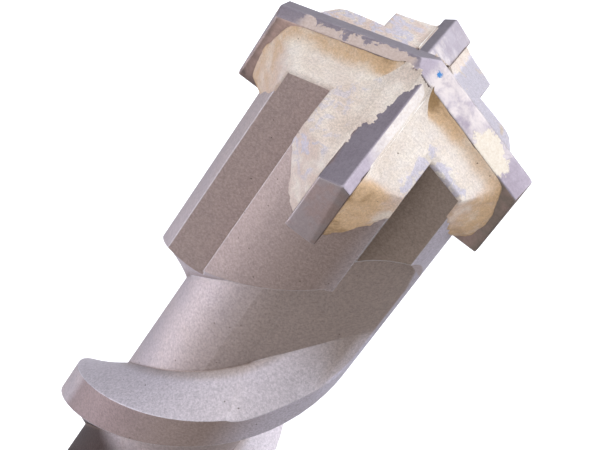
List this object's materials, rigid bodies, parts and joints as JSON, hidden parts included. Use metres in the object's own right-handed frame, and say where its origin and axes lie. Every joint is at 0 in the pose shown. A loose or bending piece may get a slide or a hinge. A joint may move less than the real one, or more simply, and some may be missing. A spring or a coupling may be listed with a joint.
{
  "type": "hammer drill bit",
  "caption": "Masonry hammer drill bit with a slotted shank, twin spiral flutes, a cross-shaped steel head and brazed carbide cutters",
  "frame": {"origin": "centre of the shank's rear end face", "axes": "+Z along the bit's axis from the shank to the cutting tip; the full-width cutter lies along X and the two side cutters point to -Y and +Y"},
  "size_m": [0.04, 0.04, 0.37],
  "materials": {
    "body_steel": "shot-blasted satin steel",
    "shank_steel": "ground satin steel",
    "carbide": "ground tungsten carbide, satin",
    "braze": "matt braze with a pale, grainy crust"
  },
  "bodies": {
    "root": {"shank": "shank_steel", "spiral_body": "body_steel", "main_cutter_plate": "carbide", "side_cutter_plate_front": "carbide", "side_cutter_plate_rear": "carbide", "braze_seam_right": "braze", "braze_seam_rear": "braze", "braze_seam_left": "braze", "braze_seam_front": "braze", "braze_pool_rear_right": "braze", "braze_pool_rear_left": "braze", "braze_pool_front_left": "braze", "braze_pool_front_right": "braze"}
  },
  "joints": []
}
